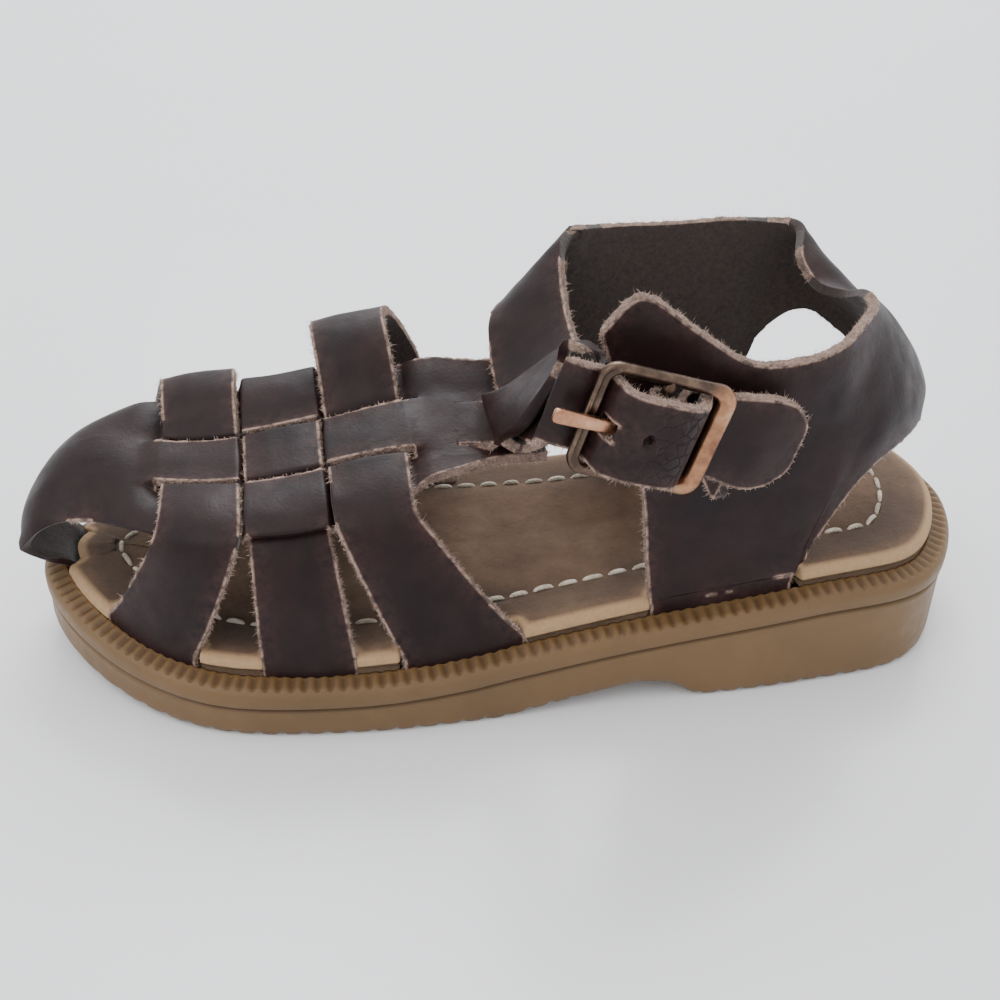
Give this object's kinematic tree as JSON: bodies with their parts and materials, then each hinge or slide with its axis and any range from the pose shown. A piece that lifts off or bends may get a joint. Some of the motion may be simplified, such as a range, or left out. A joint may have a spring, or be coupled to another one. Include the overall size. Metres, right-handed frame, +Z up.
{
  "type": "woven leather fisherman sandal",
  "caption": "Toddler's left fisherman sandal: slit vamp woven through cross straps, closed heel quarter, buckled ankle strap, ribbed rubber sole.",
  "frame": {"origin": "middle of the sandal's footprint, on the ground", "axes": "+Z up; +X from toe to heel along the sole; -Y the lateral side, where the buckle is"},
  "size_m": [0.142, 0.0626, 0.0634],
  "materials": {
    "gum_rubber": "satin moulded gum rubber",
    "sole_foam": "matte foam",
    "fibre_board": "matte pressed fibre board",
    "footbed_suede": "tan-brown suede",
    "thread": "off-white waxed thread",
    "brown_leather": "semi-gloss aubergine-brown smooth leather with raw cut edges",
    "antique_brass": "antique brass, brushed and darkened"
  },
  "bodies": {
    "shoe": {"outsole": "gum_rubber", "sole_filler": "sole_foam", "insole_board": "fibre_board", "footbed_foam": "sole_foam", "footbed_cover": "footbed_suede", "footbed_thread": "thread", "cross_strap_front": "brown_leather", "cross_strap_middle": "brown_leather", "cross_strap_rear": "brown_leather", "vamp": "brown_leather", "quarter_and_ankle_strap": "brown_leather", "buckle_tab": "brown_leather"},
    "buckle": {"buckle_frame": "antique_brass"},
    "prong": {"buckle_prong": "antique_brass"}
  },
  "joints": [
    {"name": "buckle_rock", "type": "hinge", "parent": "shoe", "child": "buckle", "pos_m": [0.01298, -0.0269, 0.0482], "axis": [0.2924, 0, 0.9563], "range_deg": [-2.5, 2.5]},
    {"name": "prong_lift", "type": "hinge", "parent": "buckle", "child": "prong", "pos_m": [0.01298, -0.0269, 0.0482], "axis": [0.2924, 0, 0.9563], "range_deg": [0, 5]}
  ]
}
